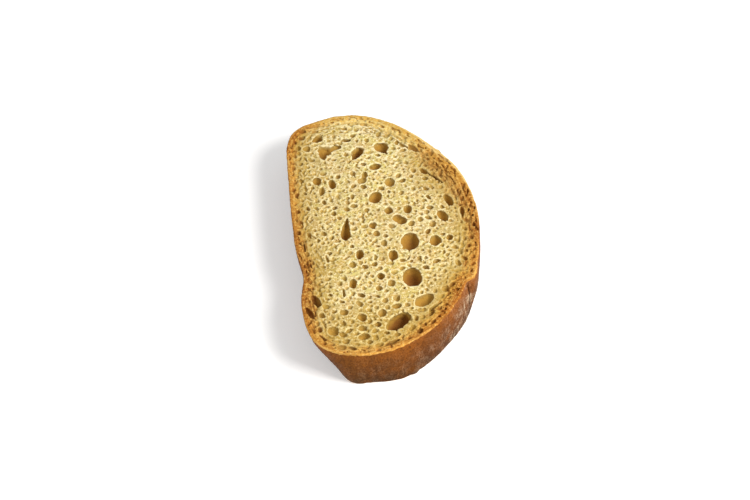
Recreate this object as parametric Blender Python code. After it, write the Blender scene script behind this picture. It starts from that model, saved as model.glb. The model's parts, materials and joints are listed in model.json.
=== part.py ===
"""A hand-cut slice of an oval hearth loaf, lying on one of its cut faces.

+X runs from the loaf's flat base to its crown, +Y along the base, +Z up through the slice's
thickness. The origin is under the middle of the slice, at the level it rests on.
"""

import math

import bmesh
import bpy
import numpy as np

MM = 0.001

# Driving sizes, in millimetres.
LENGTH = 149.0          # along the loaf's base
HEIGHT = 86.0           # from the loaf's base to its crown
THICKNESS = 20.0        # between the two cut faces

# How the slice is shaped between and on its cut faces, in millimetres.
WALL_BULGE = 0.8        # the crust wall's belly at half the thickness
CRUST_BAND = 3.6        # baked rim seen round the cut face
CRUMB_SLOPE = 1.4       # width over which the rim drops to the crumb
CRUMB_DROP = 0.5        # the crumb lies this much below the rim
PORE_DEPTH_SHARE = 0.42  # a pore's half depth, as a share of its mean width
PORE_SINK_SHARE = 0.25  # how far a pore's middle lies under the cut, as a share of its half depth

# Fineness of the mesh.
EDGE_POINTS = 112
WALL_LEVELS = 5
LARGE_PORE = 7.9        # a pore at least this long, in millimetres, gets the finer mesh
PORE_ROUNDNESS = 2
LARGE_PORE_ROUNDNESS = 3
RIM_EVENING = 16

# The slice's edge, anticlockwise from the middle of the base, in millimetres before it is fitted
# to LENGTH and HEIGHT. Each station gives x, y on the shown face and x, y on the underside.
EDGE_STATIONS = (
    # lower half of the flat base, with its slight waist
    (-42.5, 5.0, -37.5, 5.0),
    (-41.9, -12.0, -37.3, -12.0),
    (-39.8, -26.4, -36.1, -25.5),
    (-41.9, -42.0, -36.5, -40.0),
    # heel, cut back towards the underside
    (-40.5, -58.0, -33.5, -54.0),
    (-36.0, -67.3, -28.8, -62.8),
    (-27.0, -72.2, -23.0, -72.9),
    # round lower end
    (-15.5, -73.8, -13.0, -74.0),
    (-3.0, -71.5, -0.5, -73.2),
    (9.5, -65.0, 10.8, -66.8),
    (19.4, -56.6, 20.8, -57.4),
    (27.1, -46.2, 29.4, -46.8),
    # torn step in the crust
    (31.1, -38.2, 33.8, -38.8),
    (36.0, -34.2, 35.6, -34.2),
    # crown
    (38.5, -24.0, 38.8, -25.0),
    (41.3, -10.0, 41.0, -10.0),
    (42.5, 4.0, 42.3, 4.0),
    (41.0, 19.0, 41.0, 19.0),
    (36.5, 33.7, 36.5, 34.0),
    (29.0, 45.7, 29.0, 46.0),
    # upper end
    (20.3, 56.6, 20.0, 56.5),
    (9.8, 66.0, 9.5, 65.8),
    (-3.0, 72.2, -2.5, 71.0),
    (-15.0, 73.4, -14.0, 71.8),
    (-26.3, 70.6, -23.5, 68.2),
    # shoulder and upper half of the base
    (-36.5, 65.5, -32.0, 62.0),
    (-41.3, 55.0, -36.5, 52.5),
    (-42.2, 35.0, -37.5, 34.0),
)

# The large pores that the knife opened: x, y, length, width in millimetres, turn in degrees.
FACE_PORES = (
    (-23.2, 50.0, 10.5, 7.0, 44.0),
    (-8.7, 48.6, 9.0, 5.5, 51.0),
    (2.8, 51.1, 7.4, 6.0, 122.0),
    (-1.5, 38.3, 6.0, 4.0, 15.0),
    (-22.6, 28.9, 6.6, 3.6, 95.0),
    (4.3, 27.5, 6.0, 4.6, 83.0),
    (-3.4, 18.3, 8.0, 5.7, 64.0),
    (30.0, 13.3, 8.0, 4.0, 108.0),
    (26.0, 3.9, 7.4, 4.6, 112.0),
    (6.2, 3.5, 6.8, 5.6, 117.0),
    (-19.1, -1.9, 10.0, 4.2, 82.0),
    (9.5, -10.4, 10.5, 8.2, 82.0),
    (20.7, -11.2, 6.8, 5.2, 81.0),
    (-14.2, -16.1, 5.9, 3.4, 80.0),
    (0.8, -18.1, 6.4, 4.4, 83.0),
    (7.8, -32.0, 11.4, 8.4, 82.0),
    (-18.7, -32.9, 5.8, 3.5, 85.0),
    (11.4, -45.6, 10.3, 5.9, 31.0),
    (-24.1, -49.0, 5.0, 3.8, 155.0),
    (-1.2, -56.4, 13.3, 7.5, 42.0),
    (-16.7, -53.0, 5.0, 4.0, 106.0),
)
UNDERSIDE_PORES = (
    (-12.0, 46.0, 9.0, 6.0, 60.0),
    (8.0, 34.0, 7.0, 5.0, 100.0),
    (-16.0, 14.0, 6.5, 4.5, 75.0),
    (20.0, 9.0, 9.5, 6.5, 115.0),
    (5.0, -22.0, 10.0, 7.0, 80.0),
    (-12.0, -38.0, 7.0, 5.0, 30.0),
    (12.0, -44.0, 8.5, 5.5, 40.0),
)


def linear(red, green, blue):
    """Turn an 8-bit display colour into the linear values a shader takes."""
    shares = np.array([red, green, blue]) / 255.0
    low = shares / 12.92
    high = ((shares + 0.055) / 1.055) ** 2.4
    return tuple(float(v) for v in np.where(shares <= 0.04045, low, high))


CRUMB_COLOUR = linear(214, 189, 126)
CRUMB_ROUGHNESS = 0.85


def clear_scene():
    for thing in list(bpy.data.objects):
        bpy.data.objects.remove(thing, do_unlink=True)


def matte(name, colour, roughness):
    material = bpy.data.materials.new(name)
    material.use_nodes = True
    shader = material.node_tree.nodes["Principled BSDF"]
    shader.inputs["Base Color"].default_value = (*colour, 1.0)
    shader.inputs["Roughness"].default_value = roughness
    shader.inputs["Metallic"].default_value = 0.0
    material.diffuse_color = (*colour, 1.0)
    return material


def smooth_loop(stations, count):
    """Points along the closed Catmull-Rom curve through the stations."""
    stations = np.asarray(stations, dtype=float)
    places = np.arange(count) * len(stations) / count
    index = places.astype(int)
    share = (places - index)[:, None]
    before, start, end, after = (stations[(index + step) % len(stations)] for step in (-1, 0, 1, 2))
    return 0.5 * (
        2.0 * start
        + (end - before) * share
        + (2.0 * before - 5.0 * start + 4.0 * end - after) * share**2
        + (3.0 * start - before - 3.0 * end + after) * share**3
    )


def outward(loop):
    """Unit normals that point out of an anticlockwise loop in the XY plane."""
    along = np.roll(loop, -1, axis=0) - np.roll(loop, 1, axis=0)
    normals = np.stack([along[:, 1], -along[:, 0]], axis=1)
    return normals / np.linalg.norm(normals, axis=1, keepdims=True)


def evened(loop, passes):
    """The loop with its small dents and lips averaged away."""
    for _ in range(passes):
        loop = (np.roll(loop, 1, axis=0) + 2.0 * loop + np.roll(loop, -1, axis=0)) / 4.0
    return loop


def wall_rings():
    """The edge at each level of the crust wall, fitted to the slice's length and height."""
    edges = smooth_loop(EDGE_STATIONS, EDGE_POINTS)
    face, underside = edges[:, :2], edges[:, 2:]
    rings = []
    for level in np.linspace(0.0, 1.0, WALL_LEVELS):
        ring = underside + (face - underside) * level
        belly = WALL_BULGE * 4.0 * level * (1.0 - level)
        rings.append((ring + outward(ring) * belly, level * THICKNESS))
    everything = np.concatenate([ring for ring, _ in rings])
    low, high = everything.min(axis=0), everything.max(axis=0)
    fit = np.array([HEIGHT, LENGTH]) / (high - low)
    middle = (low + high) / 2.0
    return [((ring - middle) * fit, level) for ring, level in rings]


def add_loop(bm, ring, level):
    """Add the corners of one closed loop and return them in order."""
    return [bm.verts.new((x * MM, y * MM, level * MM)) for x, y in ring]


def add_band(bm, lower, upper):
    """Join two loops, corner to corner, with a band of faces."""
    for here in range(len(lower)):
        bm.faces.new((lower[here - 1], lower[here], upper[here], upper[here - 1]))


def make_slice():
    """Crust wall, rim round the cut face and the crumb a little below it, as one closed body."""
    rings = wall_rings()
    rim, top = rings[-1]
    soft_rim = evened(rim, RIM_EVENING)
    inwards = -outward(soft_rim)
    rings.append((soft_rim + inwards * CRUST_BAND, top))
    rings.append((soft_rim + inwards * (CRUST_BAND + CRUMB_SLOPE), top - CRUMB_DROP))

    bm = bmesh.new()
    loops = [add_loop(bm, ring, level) for ring, level in rings]
    for lower, upper in zip(loops, loops[1:]):
        add_band(bm, lower, upper)
    bm.faces.new(loops[0])
    bm.faces.new(loops[-1])
    bmesh.ops.recalc_face_normals(bm, faces=bm.faces)
    bmesh.ops.triangulate(bm, faces=bm.faces)

    mesh = bpy.data.meshes.new("bread_slice")
    bm.to_mesh(mesh)
    bm.free()
    mesh.shade_smooth()
    mesh.set_sharp_from_angle(angle=math.radians(40.0))
    bread = bpy.data.objects.new("bread_slice", mesh)
    bpy.context.collection.objects.link(bread)
    return bread


def cut_pore(bread, name, place, level, facing):
    """Open one bubble of the dough where a cut face goes through it."""
    x, y, length, width, turn = place
    half_depth = PORE_DEPTH_SHARE * (length + width) / 2.0
    roundness = LARGE_PORE_ROUNDNESS if length >= LARGE_PORE else PORE_ROUNDNESS
    bm = bmesh.new()
    bmesh.ops.create_icosphere(bm, subdivisions=roundness, radius=1.0)
    bmesh.ops.scale(bm, verts=bm.verts, vec=(length / 2.0 * MM, width / 2.0 * MM, half_depth * MM))
    mesh = bpy.data.meshes.new(name)
    bm.to_mesh(mesh)
    bm.free()
    mesh.shade_smooth()

    pore = bpy.data.objects.new(name, mesh)
    pore.location = (x * MM, y * MM, (level - facing * PORE_SINK_SHARE * half_depth) * MM)
    pore.rotation_euler = (0.0, 0.0, math.radians(turn))
    pore.hide_render = True
    pore.display_type = "WIRE"
    bpy.context.collection.objects.link(pore)

    cut = bread.modifiers.new(name, "BOOLEAN")
    cut.operation = "DIFFERENCE"
    cut.solver = "EXACT"
    cut.object = pore


def main():
    clear_scene()
    bread = make_slice()
    bread.data.materials.append(matte("bread", CRUMB_COLOUR, CRUMB_ROUGHNESS))
    for number, place in enumerate(FACE_PORES):
        cut_pore(bread, f"face_pore_{number:02d}", place, THICKNESS - CRUMB_DROP, 1.0)
    for number, place in enumerate(UNDERSIDE_PORES):
        cut_pore(bread, f"underside_pore_{number:02d}", place, 0.0, -1.0)


main()
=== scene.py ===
"""Looks of one thick, hand-cut slice of country bread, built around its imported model.

The slice lies on one cut face with the other one up. Its crumb is an open foam: the large pores
have places of their own, and the finer ones are scattered between them by rule. All of them are
cut out of the slice as bubbles. The baked crust is the outside of the same piece. Named sizes
are in millimetres and degrees, and the places of meshes in metres.
"""

import json
import logging
import math
from collections.abc import Iterator
from contextlib import contextmanager
from dataclasses import dataclass, field
from enum import Enum

import bpy
import numpy as np
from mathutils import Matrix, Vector, noise
from mathutils.kdtree import KDTree

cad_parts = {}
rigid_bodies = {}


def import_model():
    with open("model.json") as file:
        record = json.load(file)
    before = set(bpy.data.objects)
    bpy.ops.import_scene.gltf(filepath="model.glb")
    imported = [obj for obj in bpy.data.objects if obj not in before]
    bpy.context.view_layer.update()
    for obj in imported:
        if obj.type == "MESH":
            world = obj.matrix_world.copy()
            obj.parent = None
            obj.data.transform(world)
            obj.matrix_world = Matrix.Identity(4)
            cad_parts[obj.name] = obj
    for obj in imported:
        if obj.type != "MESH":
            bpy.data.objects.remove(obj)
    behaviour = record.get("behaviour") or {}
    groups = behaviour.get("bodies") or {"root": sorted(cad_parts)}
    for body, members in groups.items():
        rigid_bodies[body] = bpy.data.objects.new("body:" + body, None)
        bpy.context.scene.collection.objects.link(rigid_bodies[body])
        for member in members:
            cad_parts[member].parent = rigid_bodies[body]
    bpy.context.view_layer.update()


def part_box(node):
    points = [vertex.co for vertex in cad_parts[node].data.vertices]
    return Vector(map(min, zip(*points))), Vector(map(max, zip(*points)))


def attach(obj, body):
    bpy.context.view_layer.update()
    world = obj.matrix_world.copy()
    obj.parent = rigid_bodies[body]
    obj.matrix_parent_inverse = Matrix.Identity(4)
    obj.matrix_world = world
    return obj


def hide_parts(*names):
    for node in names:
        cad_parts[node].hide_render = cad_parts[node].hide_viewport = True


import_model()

MM = 0.001
NODE = "bread_slice"
BODY = "root"
WEIGHT_STEPS = 16

log = logging.getLogger("bread")

Colour = tuple[float, float, float]


def linear(*display: float) -> Colour:
    """Turn an 8-bit display colour into the linear values that a shader takes.

    Args:
        display: Red, green and blue, 0 to 255.

    Returns:
        The linear colour, 0 to 1.
    """
    shares = np.array(display) / 255.0
    values = np.where(shares <= 0.04045, shares / 12.92, ((shares + 0.055) / 1.055) ** 2.4)
    return tuple(float(value) for value in values)


# ---- Modelling helpers


def deselect_all() -> None:
    """Leave object mode's selection empty."""
    for thing in bpy.context.selected_objects:
        thing.select_set(False)


def make_active(piece: bpy.types.Object) -> None:
    """Select one piece alone and make it the active one.

    Args:
        piece: The piece.
    """
    deselect_all()
    piece.select_set(True)
    bpy.context.view_layer.objects.active = piece


@contextmanager
def editing(piece: bpy.types.Object, select: str) -> Iterator[None]:
    """Shape one piece in edit mode.

    Args:
        piece: The piece.
        select: What is done with its selection at first, such as SELECT or DESELECT.

    Yields:
        Nothing, once edit mode is on.
    """
    make_active(piece)
    bpy.ops.object.mode_set(mode="EDIT")
    bpy.ops.mesh.select_all(action=select)
    yield
    bpy.ops.object.mode_set(mode="OBJECT")


def finish_with(piece: bpy.types.Object, kind: str, **settings: object) -> None:
    """Put a modifier on a piece and apply it.

    Args:
        piece: The piece.
        kind: The modifier's type.
        settings: Its settings by name.
    """
    make_active(piece)
    modifier = piece.modifiers.new(kind.title(), kind)
    for name, value in settings.items():
        setattr(modifier, name, value)
    bpy.ops.object.modifier_apply(modifier=modifier.name)


def melt_into_one(piece: bpy.types.Object, voxel: float) -> None:
    """Give all bodies of a piece one even, closed skin with faces of the voxel's size."""
    finish_with(piece, "REMESH", mode="VOXEL", voxel_size=voxel * MM)


def displace(
    piece: bpy.types.Object, name: str, size: float, strength: float, group: str = ""
) -> None:
    """Push a piece's surface in and out by cloudy noise.

    Args:
        piece: The piece.
        name: The noise's name.
        size: The size of its features.
        strength: How far it pushes altogether.
        group: The vertex group that it is kept to, if any.
    """
    texture = bpy.data.textures.new(name, "CLOUDS")
    texture.noise_scale = size * MM
    texture.noise_depth = 2
    finish_with(
        piece, "DISPLACE", texture=texture, texture_coords="LOCAL", direction="NORMAL",
        mid_level=0.5, strength=strength * MM, vertex_group=group,
    )


def places_of(piece: bpy.types.Object) -> np.ndarray:
    """List the places of a piece's vertices.

    Args:
        piece: The piece.

    Returns:
        One x, y, z row for each vertex.
    """
    places = np.empty(len(piece.data.vertices) * 3, dtype=np.float32)
    piece.data.vertices.foreach_get("co", places)
    return places.reshape(-1, 3).astype(float)


def move_to(piece: bpy.types.Object, places: np.ndarray) -> None:
    """Put a piece's vertices in new places."""
    piece.data.vertices.foreach_set("co", places.astype(np.float32).ravel())
    piece.data.update()


def group_weights(piece: bpy.types.Object, name: str, weights: np.ndarray) -> None:
    """Give a piece a vertex group whose weights are rounded to a few steps.

    Args:
        piece: The piece.
        name: The group's name.
        weights: One weight for each vertex, 0 to 1.
    """
    group = piece.vertex_groups.new(name=name)
    rounded = np.rint(np.clip(weights, 0.0, 1.0) * WEIGHT_STEPS).astype(int)
    for step in range(1, WEIGHT_STEPS + 1):
        members = np.flatnonzero(rounded == step)
        if len(members):
            group.add(members.tolist(), step / WEIGHT_STEPS, "REPLACE")


def smoothstep(low: float, high: float, value: np.ndarray) -> np.ndarray:
    """Rise smoothly from 0 at low to 1 at high."""
    share = np.clip((value - low) / (high - low), 0.0, 1.0)
    return share * share * (3.0 - 2.0 * share)


# ---- The slice's edge


@dataclass(frozen=True)
class Station:
    """One place on the slice's edge.

    face and underside are x, y on the two cut faces. crust is the width of the browned band that
    the cut shows there, bake how dark it is, flour how much flour lies on the wall, and strands
    how far the crumb behind it is drawn into layers. glint is how strong the painted highlight
    on the crust's very rim is; above 1 it also widens the rim into a pale band, partly painted
    highlight and partly the paler colour of a less baked crust.
    """

    face: tuple[float, float]
    underside: tuple[float, float]
    crust: float
    bake: float
    flour: float
    strands: float
    pale_rim_and_highlight: float


EDGE = (
    # flat base, lower half, with its slight waist
    Station((-42.5, 5.0), (-37.5, 5.0), 3.8, 1.15, 0.1, 0.5, 0.1),
    Station((-41.9, -12.0), (-37.3, -12.0), 4.0, 1.25, 0.1, 0.5, 0.1),
    Station((-39.8, -26.4), (-36.1, -25.5), 4.4, 1.25, 0.1, 0.5, 0.1),
    Station((-41.9, -42.0), (-36.5, -40.0), 5.0, 1.25, 0.1, 0.6, 0.1),
    # heel, cut back towards the underside
    Station((-40.5, -58.0), (-33.5, -54.0), 4.6, 1.15, 0.1, 0.6, 0.2),
    Station((-36.0, -67.3), (-28.8, -62.8), 4.4, 1.0, 0.1, 0.6, 0.5),
    Station((-27.0, -72.2), (-23.0, -72.9), 4.0, 0.8, 0.1, 0.2, 0.6),
    # round lower end
    Station((-15.5, -73.8), (-13.0, -74.0), 4.2, 0.85, 0.1, 0.1, 0.6),
    Station((-3.0, -71.5), (-0.5, -73.2), 4.4, 0.88, 0.1, 0.1, 0.6),
    Station((9.5, -65.0), (10.8, -66.8), 4.8, 0.95, 0.2, 0.3, 0.4),
    Station((19.4, -56.6), (20.8, -57.4), 5.4, 1.15, 0.35, 0.2, 0.15),
    Station((27.1, -46.2), (29.4, -46.8), 5.8, 1.25, 0.8, 0.1, 0.05),
    # torn step in the crust
    Station((31.1, -38.2), (33.8, -38.8), 5.4, 1.2, 1.1, 0.1, 0.1),
    Station((36.0, -34.2), (35.6, -34.2), 5.2, 0.9, 0.5, 0.2, 0.8),
    # crown
    Station((38.5, -24.0), (38.8, -25.0), 5.0, 1.0, 0.3, 0.3, 0.4),
    Station((41.3, -10.0), (41.0, -10.0), 5.2, 1.25, 0.15, 0.6, 0.2),
    Station((42.5, 4.0), (42.3, 4.0), 5.6, 1.22, 0.1, 0.7, 0.5),
    Station((41.0, 19.0), (41.0, 19.0), 8.0, 1.18, 0.1, 1.0, 0.9),
    Station((36.5, 33.7), (36.5, 34.0), 9.6, 1.0, 0.1, 1.0, 1.3),
    Station((29.0, 45.7), (29.0, 46.0), 8.8, 0.85, 0.1, 1.0, 2.0),
    # upper end
    Station((20.3, 56.6), (20.0, 56.5), 6.0, 0.62, 0.1, 1.0, 1.2),
    Station((9.8, 66.0), (9.5, 65.8), 4.8, 0.6, 0.1, 1.0, 0.5),
    Station((-3.0, 72.2), (-2.5, 71.0), 4.4, 0.58, 0.1, 0.95, 0.2),
    Station((-15.0, 73.4), (-14.0, 71.8), 4.4, 0.62, 0.1, 0.9, 0.2),
    Station((-26.3, 70.6), (-23.5, 68.2), 4.2, 0.75, 0.1, 0.8, 0.2),
    # shoulder and base, upper half
    Station((-36.5, 65.5), (-32.0, 62.0), 4.0, 1.0, 0.1, 0.4, 0.1),
    Station((-41.3, 55.0), (-36.5, 52.5), 3.8, 1.05, 0.1, 0.2, 0.1),
    Station((-42.2, 35.0), (-37.5, 34.0), 3.6, 0.88, 0.1, 0.4, 0.1),
)


@dataclass
class SliceEdge:
    """The closed curve round the slice, and the crust wall that it sweeps from face to face.

    points is how many points the curve has, bulge the wall's belly at half the thickness, and
    fit_levels at how many levels the wall is measured to fit it to the model's box. The survey
    is a grid of places, grid_pitch apart, on grid_levels levels.
    """

    points: int = 360
    bulge: float = 0.8
    fit_levels: int = 9
    grid_pitch: float = 1.0 * MM
    grid_levels: int = 5
    low: Vector = field(default_factory=lambda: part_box(NODE)[0])
    high: Vector = field(default_factory=lambda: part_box(NODE)[1])

    def __post_init__(self) -> None:
        """Draw the curve, fit it to the model's box and survey the wall."""
        rows = [(*s.face, *s.underside, s.crust, s.bake, s.flour, s.strands, s.pale_rim_and_highlight) for s in EDGE]
        curve = self.smooth(np.array(rows))
        self.face, self.underside, self.crust = curve[:, :2], curve[:, 2:4], curve[:, 4] * MM
        self.bake, self.flour, self.strands, self.pale_rim_and_highlight = curve[:, 5:].T
        self.middle, self.scale = np.zeros(2), np.ones(2)
        shares = np.linspace(0.0, 1.0, self.fit_levels)
        wall = np.concatenate([self.ring(share) for share in shares])
        low, high = wall.min(axis=0), wall.max(axis=0)
        self.middle = (low + high) / 2.0
        self.scale = (np.array(self.high.xy) - np.array(self.low.xy)) / (high - low)
        self.make_survey()

    @property
    def thickness(self) -> float:
        """From one cut face to the other."""
        return self.high.z - self.low.z

    def smooth(self, table: np.ndarray) -> np.ndarray:
        """Read the closed Catmull-Rom curve through the rows of a table.

        Args:
            table: One row for each station.

        Returns:
            One row for each point of the curve.
        """
        places = np.arange(self.points) * len(table) / self.points
        index = places.astype(int)
        share = (places - index)[:, None]
        before, start, end, after = (table[(index + step) % len(table)] for step in (-1, 0, 1, 2))
        return 0.5 * (
            2.0 * start
            + (end - before) * share
            + (2.0 * before - 5.0 * start + 4.0 * end - after) * share**2
            + (3.0 * start - before - 3.0 * end + after) * share**3
        )

    def outwards(self, ring: np.ndarray) -> np.ndarray:
        """Find the directions that point out of an anticlockwise ring.

        Args:
            ring: Its points, as x, y rows.

        Returns:
            One unit vector for each point.
        """
        along = np.roll(ring, -1, axis=0) - np.roll(ring, 1, axis=0)
        outward = np.stack([along[:, 1], -along[:, 0]], axis=1)
        return outward / np.linalg.norm(outward, axis=1, keepdims=True)

    def ring(self, share: float) -> np.ndarray:
        """Find the edge at one level of the wall.

        Args:
            share: The level, as a share of the slice's thickness.

        Returns:
            One x, y row for each point of the curve.
        """
        loop = self.underside + (self.face - self.underside) * share
        loop = loop + self.outwards(loop) * self.bulge * 4.0 * share * (1.0 - share)
        return (loop * MM - self.middle) * self.scale

    def make_survey(self) -> None:
        """Measure a grid of places from the wall, from which any other place is read."""
        margin = 2.0 * self.grid_pitch
        self.columns = np.arange(self.low.x - margin, self.high.x + margin, self.grid_pitch)
        self.rows = np.arange(self.low.y - margin, self.high.y + margin, self.grid_pitch)
        shape = (self.grid_levels, len(self.columns), len(self.rows))
        self.grid_inside = np.empty(shape)
        self.grid_station = np.empty(shape, dtype=int)
        for level, share in enumerate(np.linspace(0.0, 1.0, self.grid_levels)):
            ring = self.ring(share)
            outwards = self.outwards(ring)
            tree = KDTree(len(ring))
            for index, (x, y) in enumerate(ring):
                tree.insert((x, y, 0.0), index)
            tree.balance()
            for i, x in enumerate(self.columns):
                for j, y in enumerate(self.rows):
                    nearest = tree.find((x, y, 0.0))[1]
                    offset = (x - ring[nearest, 0], y - ring[nearest, 1])
                    out = offset[0] * outwards[nearest, 0] + offset[1] * outwards[nearest, 1]
                    self.grid_inside[level, i, j] = -math.copysign(math.hypot(*offset), out)
                    self.grid_station[level, i, j] = nearest

    def survey(self, places: np.ndarray) -> tuple[np.ndarray, np.ndarray]:
        """Measure places from the crust wall.

        Args:
            places: One x, y, z row for each place.

        Returns:
            How far each lies inside the wall, in metres and negative outside, and the index of
            the nearest point of the curve.
        """
        starts = np.array([self.low.z, self.columns[0], self.rows[0]])
        level_pitch = self.thickness / (self.grid_levels - 1)
        pitches = np.array([level_pitch, self.grid_pitch, self.grid_pitch])
        most = np.array(self.grid_inside.shape) - 1.001
        cells = np.clip((places[:, [2, 0, 1]] - starts) / pitches, 0.0, most)
        corner = cells.astype(int)
        share = cells - corner
        inside = np.zeros(len(places))
        for step in np.ndindex(2, 2, 2):
            weight = np.where(np.array(step) == 1, share, 1.0 - share).prod(axis=1)
            at = corner + np.array(step)
            inside += weight * self.grid_inside[at[:, 0], at[:, 1], at[:, 2]]
        nearest = np.rint(cells).astype(int)
        return inside, self.grid_station[nearest[:, 0], nearest[:, 1], nearest[:, 2]]

    def along(self, station: np.ndarray) -> np.ndarray:
        """The direction of the edge at points of the curve, as angles in the XY plane."""
        outward = self.outwards(self.face)[station]
        return np.arctan2(outward[:, 0], -outward[:, 1])


@dataclass(frozen=True)
class Swelling:
    """A rounded body at the crust wall, which stands out of it as a lump or opens it as a crack.

    centre is x, y and its level above the underside, halves are its half length, width and
    height, and turn is how far its length is turned from +X.
    """

    centre: tuple[float, float, float]
    halves: tuple[float, float, float]
    turn: float


LUMPS = (
    # foot at the round lower end
    Swelling((4.2, -69.9, 2.4), (3.2, 2.0, 2.6), 30.0),
    # lip on the rim of the crown
    Swelling((28.8, 45.4, 18.6), (2.2, 1.7, 1.4), 128.0),
)

# crack down the wall at the torn step
CRACKS = (Swelling((32.2, -37.8, 9.0), (1.8, 0.6, 14.0), 135.0),)


# ---- Pores


class CutFace(Enum):
    """The two faces that the knife left, as the direction in which each looks."""

    SHOWN = 1.0
    UNDERSIDE = -1.0


@dataclass(frozen=True)
class Pore:
    """A large bubble opened by the knife.

    depth is its depth as a share of that of a round bubble as wide as it, and lump is how uneven
    its wall is, as a share of its size.
    """

    x: float
    y: float
    length: float
    width: float
    turn: float
    depth: float = 1.0
    lump: float = 0.12


LARGE_PORES = (
    # upper end
    Pore(-24.0, 51.5, 7.0, 6.0, 0.0, 0.8, 0.3),
    Pore(-19.6, 52.7, 7.0, 3.6, 15.0, 0.8, 0.3),
    Pore(-25.5, 48.0, 5.5, 3.4, 100.0, 1.0, 0.3),
    Pore(-26.8, 59.9, 5.6, 3.8, 36.0, 1.0, 0.4),
    Pore(-32.5, 53.7, 3.6, 3.4, 0.0, 0.7, 0.3),
    Pore(-8.7, 48.6, 8.9, 5.6, 51.0, 0.9, 0.35),
    Pore(2.8, 51.1, 7.4, 6.1, 122.0, 0.8, 0.35),
    Pore(-13.2, 57.4, 5.2, 2.2, 175.0, 1.6, 0.4),
    Pore(17.9, 48.9, 7.4, 2.4, 124.0, 1.1),
    # above the middle
    Pore(-1.5, 38.3, 6.0, 4.0, 15.0),
    Pore(-6.9, 33.5, 4.7, 3.0, 84.0, 0.7),
    Pore(-8.7, 29.8, 4.6, 3.6, 31.0, 0.6),
    Pore(-29.5, 31.7, 5.2, 4.1, 87.0, 0.8),
    Pore(-22.6, 28.9, 6.4, 3.4, 95.0),
    Pore(-27.7, 25.0, 5.8, 2.6, 85.0, 0.7),
    Pore(4.3, 27.5, 5.8, 4.6, 83.0, 0.6),
    Pore(-14.0, 20.1, 3.8, 2.0, 85.0, 0.8),
    Pore(-3.4, 18.3, 7.8, 5.7, 64.0, 0.8),
    Pore(1.8, 9.6, 4.6, 3.8, 83.0),
    Pore(10.5, 9.5, 5.2, 3.8, 82.0, 0.9),
    Pore(5.2, 4.4, 4.8, 4.4, 80.0, 0.8),
    Pore(7.0, 2.6, 5.2, 4.4, 80.0, 1.0),
    Pore(11.3, 0.5, 3.9, 3.2, 81.0, 0.6),
    Pore(15.6, 2.5, 3.7, 2.9, 81.0, 0.6),
    Pore(30.0, 13.3, 8.0, 3.6, 108.0, 1.1),
    Pore(26.0, 3.9, 7.2, 4.4, 112.0, 0.8),
    Pore(35.2, 5.7, 5.4, 2.2, 88.0),
    Pore(20.8, -0.8, 3.9, 3.2, 80.0, 0.6),
    # middle
    Pore(-6.5, 1.1, 4.7, 3.2, 84.0),
    Pore(-5.3, -4.2, 3.7, 3.4, 84.0, 0.7),
    Pore(-19.3, -3.2, 7.8, 4.6, 84.0, 1.1, 0.0),
    Pore(-19.0, -0.6, 9.0, 3.8, 80.0, 0.9, 0.0),
    Pore(-18.4, 2.8, 8.0, 1.9, 78.0, 1.2, 0.0),
    Pore(9.5, -10.4, 10.5, 8.2, 82.0, 0.66),
    Pore(20.7, -11.2, 6.8, 5.2, 81.0, 0.8),
    Pore(27.4, -9.8, 3.9, 2.9, 80.0, 1.2),
    Pore(-2.5, -10.3, 3.9, 2.9, 84.0, 0.7),
    Pore(-14.2, -16.1, 5.9, 3.4, 80.0, 1.2),
    Pore(0.8, -18.1, 6.4, 4.4, 83.0, 0.9),
    Pore(-17.8, -21.9, 4.2, 3.2, 85.0, 0.6),
    Pore(-6.1, -29.8, 4.2, 3.3, 84.0, 1.3),
    Pore(7.8, -32.0, 11.2, 8.4, 82.0, 0.8),
    Pore(-1.8, -34.4, 4.4, 3.5, 83.0, 0.6),
    Pore(-7.7, -36.8, 3.2, 2.8, 84.0),
    Pore(-18.7, -32.9, 5.8, 3.3, 85.0, 0.9),
    # lower end
    Pore(11.4, -45.6, 10.3, 5.9, 31.0, 0.6),
    Pore(21.3, -40.0, 4.1, 3.3, 63.0, 0.6),
    Pore(-1.2, -56.4, 13.2, 6.8, 42.0, 1.1, 0.2),
    Pore(-1.0, -47.8, 4.6, 3.0, 12.0, 0.8),
    Pore(-7.7, -51.2, 4.8, 3.8, 74.0, 0.7),
    Pore(-24.1, -49.0, 3.9, 3.8, 155.0, 0.7),
    Pore(-16.7, -52.6, 4.8, 3.8, 106.0, 0.8),
    Pore(-29.9, -59.0, 5.6, 4.5, 115.0, 0.6),
    Pore(-16.8, -63.4, 5.3, 3.6, 12.0, 0.8),
    Pore(-17.0, -58.7, 4.3, 2.8, 3.0, 0.7),
    Pore(-35.7, -41.3, 7.4, 3.2, 112.0, 1.1),
    Pore(-39.2, -48.0, 7.4, 2.6, 112.0, 0.8),
    # slits between the layers of crumb and crust
    Pore(-5.2, 61.5, 13.7, 0.8, 3.0, 1.0, 0.4),
    Pore(-18.4, 55.9, 4.0, 0.8, 23.0, 1.0, 0.4),
    Pore(20.9, 33.2, 4.6, 2.6, 125.0, 1.4),
    Pore(25.6, 28.6, 10.0, 1.3, 132.0, 2.0),
    Pore(14.2, 50.7, 9.0, 0.9, 132.0, 1.0, 0.4),
    Pore(15.8, -49.5, 7.5, 1.3, 30.0, 1.0, 0.4),
    Pore(-34.6, -62.3, 4.6, 1.0, 131.0, 1.0, 0.4),
    Pore(-5.2, -68.0, 7.8, 2.0, 22.0),
    Pore(-23.3, -38.1, 5.3, 1.1, 90.0, 1.0, 0.4),
    Pore(-38.4, -9.0, 6.6, 0.8, 94.0, 1.0, 0.4),
    Pore(-36.5, -20.3, 3.5, 0.8, 99.0, 1.0, 0.4),
    Pore(-28.8, -17.6, 5.0, 1.1, 98.0, 1.0, 0.4),
    Pore(-20.3, -17.5, 3.8, 1.2, 31.0, 1.0, 0.4),
    Pore(7.5, -20.3, 2.7, 1.0, 64.0, 1.0, 0.4),
    Pore(21.0, 16.1, 4.0, 1.7, 119.0, 1.2),
)

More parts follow.
